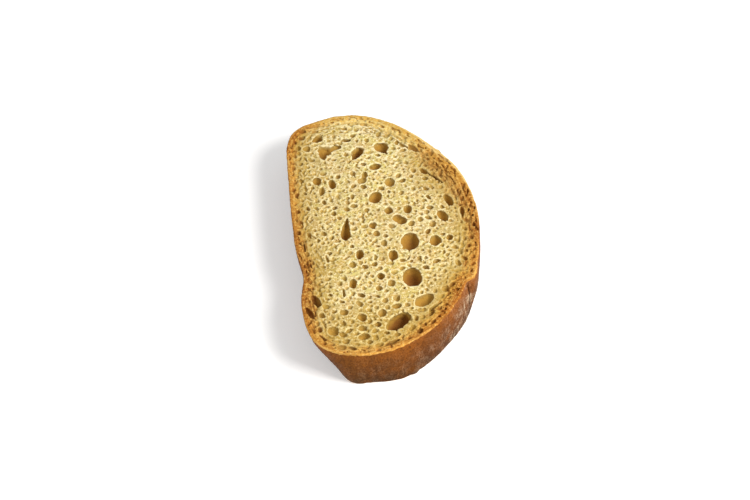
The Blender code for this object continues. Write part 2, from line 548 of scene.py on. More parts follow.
UNDERSIDE_PORES = (
    Pore(-12.0, 46.0, 9.0, 6.0, 60.0),
    Pore(8.0, 34.0, 7.0, 5.0, 100.0),
    Pore(-16.0, 14.0, 6.5, 4.5, 75.0),
    Pore(20.0, 9.0, 9.5, 6.5, 115.0),
    Pore(5.0, -22.0, 10.0, 7.0, 80.0),
    Pore(-12.0, -38.0, 7.0, 5.0, 30.0),
    Pore(12.0, -44.0, 8.5, 5.5, 40.0),
)


class Ground(Enum):
    """Where on a cut face a size class of finer pores opens."""

    OPEN = "anywhere but in the crust's own layers"
    DRAWN = "where the crumb is drawn into layers"
    CALM = "where the crumb isn't drawn into layers"


@dataclass(frozen=True)
class Scatter:
    """A size class of the finer pores that are strewn over a cut face.

    pitch is their mean spacing, smallest and largest are their diameters, and skew says how
    strongly the small ones outnumber the large ones. depth is their half depth as a share of
    their radius, and sunk how far their middles lie under the cut, as shares of that half depth.
    zone is between which distances from the wall they lie, and reach between which places along
    the loaf. lump is how uneven they are. Those that are apart keep clear of each other too.
    bare is the level of a cloudy noise, -1 to 1, below which the crumb has none.
    """

    pitch: float
    smallest: float
    largest: float
    seed: int
    skew: float = 1.4
    stretch: float = 0.3
    depth: float = 0.85
    sunk: tuple[float, float] = (-0.6, 0.5)
    zone: tuple[float, float] = (1.0, 99.0)
    reach: tuple[float, float] = (-99.0, 99.0)
    clearance: float = 0.1
    lump: float = 0.42
    ground: Ground = Ground.OPEN
    apart: bool = False
    bare: float = -1.0


@dataclass
class Bubbles:
    """Rounded, slightly lumpy bubbles that are gathered and made into one mesh.

    There are as many different lumpy shapes as variants says. Each is a broad noise and
    fine_share of a fine one.
    """

    roundness: int
    variants: int = 24
    seed: int = 11
    broad_pitch: float = 1.1
    fine_pitch: float = 2.7
    fine_share: float = 0.5
    centres: list[np.ndarray] = field(default_factory=list)
    sizes: list[np.ndarray] = field(default_factory=list)
    turns: list[float] = field(default_factory=list)
    lumps: list[float] = field(default_factory=list)

    def add(self, centre: np.ndarray, halves: np.ndarray, turn: float, lump: float) -> None:
        """Add one bubble.

        Args:
            centre: Its middle, in metres.
            halves: Its half length, half width and half depth, in metres.
            turn: How far its length is turned from +X, in radians.
            lump: How uneven it is, as a share of its size.
        """
        self.centres.append(centre)
        self.sizes.append(halves)
        self.turns.append(turn)
        self.lumps.append(lump)

    def ball(self) -> tuple[np.ndarray, np.ndarray, np.ndarray]:
        """Model one round bubble and a few ways in which it can be lumpy.

        Returns:
            Its vertices, its faces, and for each way how far each vertex bulges.
        """
        deselect_all()
        bpy.ops.mesh.primitive_ico_sphere_add(subdivisions=self.roundness, radius=1.0)
        ball = bpy.context.object
        places = places_of(ball)
        faces = np.array([tuple(face.vertices) for face in ball.data.polygons])
        bpy.data.objects.remove(ball, do_unlink=True)
        bulges = np.empty((self.variants, len(places)))
        for variant in range(self.variants):
            drift = Vector((7.3 * (variant + self.seed), 3.1 * variant, 5.7 * variant))
            for index, place in enumerate(places):
                broad = noise.noise(Vector(place) * self.broad_pitch + drift)
                fine = noise.noise(Vector(place) * self.fine_pitch - drift)
                bulges[variant, index] = broad + self.fine_share * fine
        return places, faces, bulges

    def build(self, name: str) -> bpy.types.Object:
        """Join all bubbles into one mesh.

        Args:
            name: The mesh object's name.

        Returns:
            The object.
        """
        places, faces, bulges = self.ball()
        count = len(self.centres)
        cos, sin = np.cos(self.turns)[:, None], np.sin(self.turns)[:, None]
        swell = 1.0 + np.array(self.lumps)[:, None] * bulges[np.arange(count) % self.variants]
        shapes = places[None] * swell[:, :, None] * np.array(self.sizes)[:, None, :]
        x, y, z = shapes[:, :, 0], shapes[:, :, 1], shapes[:, :, 2]
        turned = np.stack([x * cos - y * sin, x * sin + y * cos, z], axis=2)
        corners = (turned + np.array(self.centres)[:, None, :]).reshape(-1, 3)
        steps = np.arange(count)[:, None, None] * len(places)
        triangles = (faces[None] + steps).reshape(-1, 3)
        mesh = bpy.data.meshes.new(name)
        mesh.vertices.add(len(corners))
        mesh.vertices.foreach_set("co", corners.astype(np.float32).ravel())
        mesh.loops.add(triangles.size)
        mesh.loops.foreach_set("vertex_index", triangles.astype(np.int32).ravel())
        mesh.polygons.add(len(triangles))
        mesh.polygons.foreach_set("loop_start", np.arange(0, triangles.size, 3, dtype=np.int32))
        mesh.update(calc_edges=True)
        piece = bpy.data.objects.new(name, mesh)
        bpy.context.collection.objects.link(piece)
        return piece


@dataclass
class Foam:
    """All the pores that the knife opened on the two cut faces.

    crumb_drop is how far the crumb lies under the crust's rim. A large pore's middle lies sink
    half depths under the cut, and it is deepen times as deep as a round one. The bubbles' skin
    is as fine as voxel, is smoothed melt times, and is frayed by noise of fray_size, fray deep;
    pores narrower than slit_width are joined on after that. Finer pores stray from their grid by
    jitter pitches, and are strewn in patches, patch_pitch of them to a millimetre. Between the
    layering's distances from the crust they go from lying along it to lying anyhow: wander is
    how far they turn then, in radians, and drawn_wander how far the drawn ones turn. Where the
    strands reach banding, they leave free the band_share of the crust. Those as large as
    crowding keep the later ones clear of them.
    """

    edge: SliceEdge
    crumb_drop: float = 0.5
    sink: float = 0.3
    deepen: float = 1.15
    voxel: float = 0.25
    melt: int = 10
    fray_size: float = 1.7
    fray: float = 0.8
    slit_width: float = 1.6
    crack_lump: float = 0.2
    jitter: float = 0.42
    layering: tuple[float, float] = (4.0, 16.0)
    patch_pitch: float = 0.14
    wander: float = 1.4
    drawn_wander: float = 0.3
    banding: tuple[float, float] = (0.85, 1.0)
    band_share: float = 0.6
    crowding: float = 0.9
    shown_kinds: tuple[Scatter, ...] = (
        Scatter(
            3.2, 1.9, 4.0, 33, skew=1.0, depth=1.0, sunk=(-0.3, 0.5), reach=(-70.0, -43.0),
            clearance=0.4, apart=True,
        ),
        Scatter(4.2, 1.7, 3.4, 3, depth=1.0, sunk=(-0.3, 0.5), clearance=0.5, apart=True),
        Scatter(
            2.0, 1.1, 2.2, 13, stretch=1.6, sunk=(-0.2, 0.4), zone=(0.3, 10.0), clearance=0.0,
            ground=Ground.DRAWN,
        ),
        Scatter(1.8, 0.9, 2.2, 5, depth=0.9, sunk=(-0.4, 0.5), clearance=0.25, bare=-0.3),
        Scatter(1.45, 0.7, 1.2, 7, sunk=(-0.1, 0.6), clearance=0.15),
        Scatter(
            1.5, 0.7, 1.6, 17, stretch=1.0, sunk=(-0.5, 0.3), zone=(0.4, 4.8), ground=Ground.CALM,
        ),
    )
    underside_kinds: tuple[Scatter, ...] = (
        Scatter(4.4, 1.8, 3.8, 23, clearance=0.4),
        Scatter(2.5, 1.1, 2.2, 25),
    )
    coarse: Bubbles = field(default_factory=lambda: Bubbles(roundness=4))
    slits: Bubbles = field(default_factory=lambda: Bubbles(roundness=4, seed=29))
    finer: Bubbles = field(default_factory=lambda: Bubbles(roundness=2))
    taken: dict[CutFace, list[tuple[float, ...]]] = field(
        default_factory=lambda: {face: [] for face in CutFace}
    )

    def level(self, face: CutFace) -> float:
        """Find the height of the crumb on a cut face.

        Args:
            face: The cut face.

        Returns:
            The height, in metres.
        """
        if face is CutFace.SHOWN:
            return self.edge.high.z - self.crumb_drop * MM
        return self.edge.low.z

    def open_pore(self, face: CutFace, pore: Pore) -> None:
        """Place one large pore.

        Args:
            face: The cut face that it opens.
            pore: The pore.
        """
        widen = 1.0 / math.sqrt(1.0 - self.sink**2)
        mean = math.sqrt(pore.length * pore.width) / 2.0
        half_depth = mean * pore.depth * self.deepen
        halves = np.array([pore.length / 2.0, pore.width / 2.0, half_depth]) * MM
        halves[:2] *= widen
        height = self.level(face) - face.value * self.sink * halves[2]
        centre = np.array([pore.x * MM, pore.y * MM, height])
        bubbles = self.slits if pore.width < self.slit_width else self.coarse
        bubbles.add(centre, halves, math.radians(pore.turn), pore.lump)
        self.taken[face].append(
            (pore.x, pore.y, pore.length / 2.0, pore.width / 2.0, math.radians(pore.turn))
        )

    def gap(self, face: CutFace, x: float, y: float) -> float:
        """Measure how far a place lies from the nearest pore taken so far.

        Args:
            face: The cut face.
            x: The place's x.
            y: The place's y.

        Returns:
            The distance to the pore's edge, negative inside it.
        """
        if not self.taken[face]:
            return math.inf
        at_x, at_y, half_length, half_width, turn = np.array(self.taken[face]).T
        along = (x - at_x) * np.cos(turn) + (y - at_y) * np.sin(turn)
        across = (y - at_y) * np.cos(turn) - (x - at_x) * np.sin(turn)
        share = np.hypot(along / half_length, across / half_width)
        away = np.hypot(x - at_x, y - at_y)
        return float((away * (1.0 - 1.0 / np.maximum(share, 1e-3))).min())

    def strew(self, face: CutFace, kind: Scatter) -> int:
        """Scatter one size class of finer pores over a cut face.

        Args:
            face: The cut face.
            kind: The size class.

        Returns:
            How many there are.
        """
        chance = np.random.default_rng(kind.seed)
        low, high = self.edge.low / MM, self.edge.high / MM
        columns = np.arange(low.x, high.x, kind.pitch)
        rows = np.arange(low.y, high.y, kind.pitch * math.sqrt(0.75))
        shifts = [(j % 2) * kind.pitch / 2.0 for j in range(len(rows))]
        grid = np.array([(x + shift, y) for shift, y in zip(shifts, rows) for x in columns])
        grid += chance.uniform(-self.jitter, self.jitter, grid.shape) * kind.pitch
        count = len(grid)
        places = np.column_stack([grid * MM, np.full(count, self.level(face))])
        inside, station = self.edge.survey(places)
        strands = self.edge.strands[station]
        share = chance.random(count) ** kind.skew
        radius = (kind.smallest + (kind.largest - kind.smallest) * share) / 2.0
        layered = 1.0 - smoothstep(*self.layering, inside / MM)
        stretch = 1.0 + kind.stretch * (0.5 + chance.random(count)) * (1.0 + 0.8 * layered)
        wander = self.drawn_wander if kind.ground is Ground.DRAWN else self.wander - layered
        turn = self.edge.along(station) + chance.normal(0.0, 1.0, count) * wander
        sunk = chance.uniform(*kind.sunk, count)
        keep = (inside > (kind.zone[0] + 0.7 * radius) * MM) & (inside < kind.zone[1] * MM)
        keep &= (grid[:, 1] > kind.reach[0]) & (grid[:, 1] < kind.reach[1])
        patches = [
            noise.noise(Vector((x, y, 10.0 * kind.seed)) * self.patch_pitch) for x, y in grid
        ]
        keep &= np.array(patches) > kind.bare
        if kind.ground is Ground.OPEN:
            band = smoothstep(*self.banding, strands) * self.band_share * self.edge.crust[station]
            keep &= inside > band + radius * MM
        else:
            likely = strands if kind.ground is Ground.DRAWN else 1.1 - strands
            keep &= chance.random(count) < likely
        placed = []
        for index in np.flatnonzero(keep):
            x, y = grid[index]
            if self.gap(face, x, y) < radius[index] + kind.clearance:
                continue
            grow = math.sqrt(stretch[index])
            size = radius[index]
            halves = np.array([size * grow, size / grow, size * kind.depth])
            height = self.level(face) - face.value * sunk[index] * halves[2] * MM
            self.finer.add(np.array([x * MM, y * MM, height]), halves * MM, turn[index], kind.lump)
            placed.append((x, y, halves[0], halves[1], turn[index]))
            if kind.apart:
                self.taken[face].append(placed[-1])
        if kind.ground is Ground.OPEN and not kind.apart and kind.smallest >= self.crowding:
            self.taken[face].extend(placed)
        return len(placed)

    def build(self) -> bpy.types.Object:
        """Make the bubbles of both faces and melt them into one closed body.

        Returns:
            The body that is cut out of the slice.
        """
        faces = (
            (CutFace.SHOWN, LARGE_PORES, self.shown_kinds),
            (CutFace.UNDERSIDE, UNDERSIDE_PORES, self.underside_kinds),
        )
        for face, pores, _ in faces:
            for pore in pores:
                self.open_pore(face, pore)
        for crack in CRACKS:
            centre = np.array(crack.centre) * MM + np.array([0.0, 0.0, self.edge.low.z])
            turn = math.radians(crack.turn)
            self.coarse.add(centre, np.array(crack.halves) * MM, turn, self.crack_lump)
        for face, _, kinds in faces:
            for kind in kinds:
                placed = self.strew(face, kind)
                size = (kind.smallest, kind.largest)
                log.info("%s: %d pores of %.1f to %.1f mm", face.name, placed, *size)
        foam, finer = self.coarse.build("large_bubbles"), self.finer.build("finer_bubbles")
        melt_into_one(foam, self.voxel)
        finish_with(foam, "SMOOTH", factor=0.5, iterations=self.melt)
        displace(foam, "frayed", self.fray_size, self.fray)
        slits = self.slits.build("slits")
        make_active(foam)
        slits.select_set(True)
        finer.select_set(True)
        bpy.ops.object.join()
        melt_into_one(foam, self.voxel)
        return foam


# ---- The slice


@dataclass
class BreadSlice:
    """The slice of bread: cut out, opened by its pores, roughened and dressed.

    levels is how many levels the block has, voxel and fine_voxel are the fineness of its skin
    before and after the pores are cut, and deep is the depth in a pore that counts as 1. The
    crumb of the shown face drops over drop_span of the crust's width, on places less than
    drop_depth under the rim. wall_span, skin_span and rim_span are the distances over which the
    wall's relief and the wall's look give way to the crumb's, the last one measured from the
    rim, and foot_share times as short at the underside. Above shown_from of the height the mesh
    keeps most triangles. relief names each noise of the surface, the region it is kept to, its
    size and its strength.
    """

    edge: SliceEdge
    foam: Foam
    levels: int = 9
    voxel: float = 0.3
    fine_voxel: float = 0.26
    deep: float = 5.0
    drop_depth: float = 0.6
    drop_span: tuple[float, float] = (0.3, 1.2)
    wall_span: tuple[float, float] = (0.3, 0.9)
    skin_span: tuple[float, float] = (0.4, 0.9)
    rim_span: tuple[float, float] = (0.2, 0.6)
    foot_share: float = 4.0
    ridge_gain: float = 1.2
    most_noted: float = 20.0
    shown_from: float = 0.55
    hidden_triangles: int = 46_000
    shown_triangles: int = 150_000
    relief: tuple[tuple[str, str, float, float], ...] = (
        ("blisters", "wall", 6.0, 0.4),
        ("wrinkles", "wall", 1.5, 0.2),
        ("waves", "crumb", 8.0, 0.25),
        ("tear", "crumb", 0.8, 0.2),
    )
    piece: bpy.types.Object | None = field(default=None, init=False)

    def block(self) -> bpy.types.Object:
        """Model the uncut block of the slice from a disc: extruded, then drawn to its edge.

        Returns:
            The block, with the crust's lumps joined on.
        """
        deselect_all()
        count = self.edge.points
        bpy.ops.mesh.primitive_circle_add(vertices=count, radius=1.0, fill_type="NGON")
        block = bpy.context.object
        block.name = "slice_of_bread"
        step = 1.0 / (self.levels - 1)
        with editing(block, "SELECT"):
            for _ in range(self.levels - 1):
                bpy.ops.mesh.extrude_region_move(TRANSFORM_OT_translate={"value": (0.0, 0.0, step)})

        places = places_of(block)
        angle = np.arctan2(places[:, 1], places[:, 0])
        around = np.rint(angle / (2.0 * math.pi) * count).astype(int) % count
        level = np.rint(places[:, 2] / step).astype(int)
        rings = np.stack([self.edge.ring(share) for share in np.linspace(0.0, 1.0, self.levels)])
        places[:, :2] = rings[level, around]
        places[:, 2] = self.edge.low.z + level * step * self.edge.thickness
        move_to(block, places)
        with editing(block, "SELECT"):
            bpy.ops.mesh.normals_make_consistent(inside=False)
        for lump in LUMPS:
            bpy.ops.mesh.primitive_uv_sphere_add(segments=24, ring_count=12, radius=1.0)
            ball = bpy.context.object
            ball.scale = Vector(lump.halves) * MM
            ball.rotation_euler = (0.0, 0.0, math.radians(lump.turn))
            ball.location = Vector(lump.centre) * MM + Vector((0.0, 0.0, self.edge.low.z))
            make_active(block)
            ball.select_set(True)
            bpy.ops.object.join()
        return block

    def settle_crumb(self) -> None:
        """Let the crumb of the shown face lie a little below the crust's rim."""
        places = places_of(self.piece)
        top = places[:, 2] > self.edge.high.z - self.drop_depth * MM
        inside, station = self.edge.survey(places[top])
        share = smoothstep(*self.drop_span, inside / self.edge.crust[station])
        places[top, 2] -= share * self.foam.crumb_drop * MM
        move_to(self.piece, places)

    def keep_skin(self) -> None:
        """Delete bubbles shut inside the crumb and crumbs that came loose."""
        outermost = int(places_of(self.piece)[:, 0].argmin())
        with editing(self.piece, "DESELECT"):
            bpy.ops.mesh.select_mode(type="VERT")
        self.piece.data.vertices[outermost].select = True
        make_active(self.piece)
        bpy.ops.object.mode_set(mode="EDIT")
        bpy.ops.mesh.select_linked()
        bpy.ops.mesh.select_all(action="INVERT")
        bpy.ops.mesh.delete(type="VERT")
        bpy.ops.object.mode_set(mode="OBJECT")

    def height_share(self, places: np.ndarray) -> np.ndarray:
        """How high places lie, 0 on the underside to 1 on the shown face."""
        return (places[:, 2] - self.edge.low.z) / self.edge.thickness

    def wall_share(self, places: np.ndarray) -> np.ndarray:
        """How far places belong to the crust wall, 0 to 1."""
        inside, _ = self.edge.survey(places)
        return 1.0 - smoothstep(*self.wall_span, inside / MM)

    def roughen(self) -> None:
        """Give the crumb its torn surface and the crust wall its blisters."""
        wall = self.wall_share(places_of(self.piece))
        group_weights(self.piece, "wall", wall)
        group_weights(self.piece, "crumb", 1.0 - wall)
        for name, group, size, strength in self.relief:
            displace(self.piece, name, size, strength, group)
        self.piece.vertex_groups.clear()

    def thin_region(self, members: np.ndarray, triangles: int) -> None:
        """Thin out one region of the mesh.

        Args:
            members: Which vertices belong to the region.
            triangles: How many triangles to leave in the region.
        """
        faces = self.piece.data.polygons
        corners = np.empty(len(faces) * 3, dtype=np.int32)
        faces.foreach_get("vertices", corners)
        inside = members[corners.reshape(-1, 3)].all(axis=1).sum()
        ratio = (len(faces) - inside + triangles) / len(faces)
        group_weights(self.piece, "region", members.astype(float))
        finish_with(
            self.piece, "DECIMATE", ratio=ratio, vertex_group="region", vertex_group_factor=1.0
        )
        self.piece.vertex_groups.clear()

    def thin_out(self) -> None:
        """Bring the mesh down to its triangle count, keeping most on the shown face."""
        finish_with(self.piece, "TRIANGULATE")
        for shown, triangles in ((False, self.hidden_triangles), (True, self.shown_triangles)):
            places = places_of(self.piece)
            face = (self.height_share(places) > self.shown_from) & (self.wall_share(places) < 0.5)
            self.thin_region(face == shown, triangles)
        places = places_of(self.piece)
        np.clip(places, np.array(self.edge.low), np.array(self.edge.high), out=places)
        move_to(self.piece, places)

    def ridges(self) -> np.ndarray:
        """Measure how sharply the surface bulges.

        Returns:
            One value for each vertex: 0 in a dent, 0.5 where it is flat, 1 on a sharp ridge.
        """
        mesh = self.piece.data
        places = places_of(self.piece)
        ends = np.empty(len(mesh.edges) * 2, dtype=np.int32)
        mesh.edges.foreach_get("vertices", ends)
        first, second = ends.reshape(-1, 2).T
        count = len(places)
        neighbours = np.bincount(first, minlength=count) + np.bincount(second, minlength=count)
        normals = np.empty(count * 3, dtype=np.float32)
        mesh.vertices.foreach_get("normal", normals)
        normals = normals.reshape(-1, 3)
        step = places[second] - places[first]
        length = np.linalg.norm(step, axis=1) + 1e-9
        rise_first = -(step * normals[first]).sum(axis=1) / length
        rise_second = (step * normals[second]).sum(axis=1) / length
        bulge = np.bincount(first, rise_first, count) + np.bincount(second, rise_second, count)
        bulge /= neighbours
        for _ in range(2):
            spread = np.bincount(first, bulge[second], count)
            spread = spread + np.bincount(second, bulge[first], count)
            bulge = 0.5 * bulge + 0.5 * spread / neighbours
        return np.clip(0.5 + self.ridge_gain * bulge, 0.0, 1.0)

    def note_finish(self) -> None:
        """Note on each vertex what the finish needs to know about its place."""
        places = places_of(self.piece)
        inside, station = self.edge.survey(places)
        inside = np.maximum(inside, 0.0)
        top = self.foam.level(CutFace.SHOWN) - places[:, 2]
        bottom = places[:, 2] - self.foam.level(CutFace.UNDERSIDE)
        depth = np.maximum(np.minimum(top, bottom), 0.0)
        rim = np.minimum(self.edge.high.z - places[:, 2], self.foot_share * bottom) / MM
        skin = (1.0 - smoothstep(*self.skin_span, inside / MM)) * smoothstep(*self.rim_span, rim)
        values = {
            "rind": inside / self.edge.crust[station],
            "inside": inside / MM,
            "strands": self.edge.strands[station],
            "pale_rim_and_highlight": self.edge.pale_rim_and_highlight[station],
            "hollow": depth / (self.deep * MM) * (1.0 - skin),
            "ridge": self.ridges(),
            "skin": skin,
            "height": self.height_share(places),
            "bake": self.edge.bake[station],
            "flour": self.edge.flour[station],
        }
        for name, value in values.items():
            layer = self.piece.data.attributes.new(name, "FLOAT", "POINT")
            value = np.clip(value, 0.0, self.most_noted).astype(np.float32)
            layer.data.foreach_set("value", value)

    def build(self) -> None:
        """Model the slice and put it in the place of its plain node."""
        self.piece = self.block()
        melt_into_one(self.piece, self.voxel)
        self.settle_crumb()
        foam = self.foam.build()
        finish_with(self.piece, "BOOLEAN", operation="DIFFERENCE", solver="MANIFOLD", object=foam)
        bpy.data.objects.remove(foam, do_unlink=True)
        self.keep_skin()
        melt_into_one(self.piece, self.fine_voxel)
        self.roughen()
        self.thin_out()
        self.keep_skin()
        self.piece.data.shade_smooth()
        self.note_finish()
        self.piece.data.materials.clear()
        self.piece.data.materials.append(BreadFinish().build())
        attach(self.piece, BODY)
        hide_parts(NODE)
        log.info("%s: %d triangles", self.piece.name, len(self.piece.data.polygons))


# ---- Finishes


Socket = bpy.types.NodeSocket
Value = float | Socket
Tint = Colour | Socket


@dataclass
class Board:
    """A node tree that is filled in by short calls, each giving back a socket."""

    tree: bpy.types.NodeTree

    def put(
        self, kind: str, feeds: dict[str | int, object] | None = None, **settings: object
    ) -> bpy.types.Node:
        """Add a node.

        Args:
            kind: The node's type.
            feeds: What its inputs get, by name or number.
            settings: Its other settings by name.

        Returns:
            The node.
        """
        node = self.tree.nodes.new(kind)
        for name, value in settings.items():
            setattr(node, name, value)
        for name, value in (feeds or {}).items():
            self.feed(node.inputs[name], value)
        return node

    def feed(self, socket: Socket, value: object) -> None:
        """Link a socket to another one, or set it.

        Args:
            socket: The socket.
            value: The socket, number or colour that it gets.
        """
        if isinstance(value, bpy.types.NodeSocket):
            self.tree.links.new(value, socket)
        elif isinstance(value, tuple) and len(socket.default_value) == 4:
            socket.default_value = (*value, 1.0)
        else:
            socket.default_value = value

    def noted(self, name: str) -> Socket:
        """Read a value noted on the vertices."""
        return self.put("ShaderNodeAttribute", attribute_name=name).outputs["Fac"]

    def place(self) -> Socket:
        """The place on the object, in metres."""
        return self.put("ShaderNodeTexCoord").outputs["Object"]

    def maths(self, operation: str, first: Value, second: Value, clamp: bool = False) -> Socket:
        """Work out a value from two others, and clamp it to 0 to 1 if asked."""
        values = {0: first, 1: second}
        return self.put("ShaderNodeMath", values, operation=operation, use_clamp=clamp).outputs[0]

    def times(self, first: Value, second: Value) -> Socket:
        """Multiply two values."""
        return self.maths("MULTIPLY", first, second)

    def plus(self, first: Value, second: Value) -> Socket:
        """Add two values."""
        return self.maths("ADD", first, second)

    def less(self, first: Value, second: Value) -> Socket:
        """Take the second value from the first."""
        return self.maths("SUBTRACT", first, second)

    def most(self, first: Value, second: Value) -> Socket:
        """Choose the larger of two values."""
        return self.maths("MAXIMUM", first, second)

    def span(
        self, value: Value, low: float, high: float, start: Value = 0.0, end: Value = 1.0
    ) -> Socket:
        """Map a value smoothly from one span onto another.

        Args:
            value: The value.
            low: Where it gives start.
            high: Where it gives end.
            start: What low is mapped onto.
            end: What high is mapped onto.

        Returns:
            The mapped value, which stays between start and end.
        """
        names = ("Value", "From Min", "From Max", "To Min", "To Max")
        feeds = dict(zip(names, (value, low, high, start, end)))
        node = self.put("ShaderNodeMapRange", feeds, interpolation_type="SMOOTHSTEP")
        return node.outputs["Result"]

    def mix(self, share: Value, first: Tint, second: Tint, blend: str = "MIX") -> Socket:
        """Mix a share of the second colour into the first one."""
        feeds = {"Factor": share, 6: first, 7: second}
        return self.put("ShaderNodeMix", feeds, data_type="RGBA", blend_type=blend).outputs[2]

    def clouds(
        self, place: Socket, scale: float, detail: float = 3.0, rough: float = 0.55,
        layer: Socket | None = None,
    ) -> Socket:
        """Make cloudy noise.

        Args:
            place: Where it is read.
            scale: Its features per metre.
            detail: How many finer octaves it has.
            rough: How strong those are.
            layer: A value with whose whole steps the noise changes too, if any.

        Returns:
            The noise, around 0.5.
        """
        feeds = {"Vector": place, "Scale": scale, "Detail": detail, "Roughness": rough}
        if layer:
            feeds["W"] = self.maths("DIVIDE", layer, scale)
        dimensions = "4D" if layer else "3D"
        return self.put("ShaderNodeTexNoise", feeds, noise_dimensions=dimensions).outputs["Fac"]


def cell_group() -> bpy.types.NodeTree:
    """Build the pattern of tiny open cells that bread shows between its pores.

    Returns:
        A shader node group. Its Dents output rises from 0 on a cell's wall to 1 in its middle,
        and its Dark output is 1 in the few cells that go deep.
    """
    group = bpy.data.node_groups.new("tiny_cells", "ShaderNodeTree")
    for name, way, kind in (
        ("Place", "INPUT", "Vector"), ("Scale", "INPUT", "Float"), ("Open", "INPUT", "Float"),
        ("Dents", "OUTPUT", "Float"), ("Dark", "OUTPUT", "Float"),
    ):
        group.interface.new_socket(name, in_out=way, socket_type=f"NodeSocket{kind}")
    board = Board(group)
    given, result = board.put("NodeGroupInput"), board.put("NodeGroupOutput")
    feeds = {"Vector": given.outputs["Place"], "Scale": given.outputs["Scale"]}
    cells = board.put("ShaderNodeTexVoronoi", feeds, feature="F1")
    chance = board.put("ShaderNodeSeparateColor", {"Color": cells.outputs["Color"]})
    reach = board.times(board.span(chance.outputs["Red"], 0.0, 1.0, 0.3), given.outputs["Open"])
    dents = board.span(board.less(reach, cells.outputs["Distance"]), 0.0, 0.3)
    board.feed(result.inputs["Dents"], dents)
    rare = board.span(chance.outputs["Green"], 0.8, 0.95)
    board.feed(result.inputs["Dark"], board.times(dents, rare))
    return group


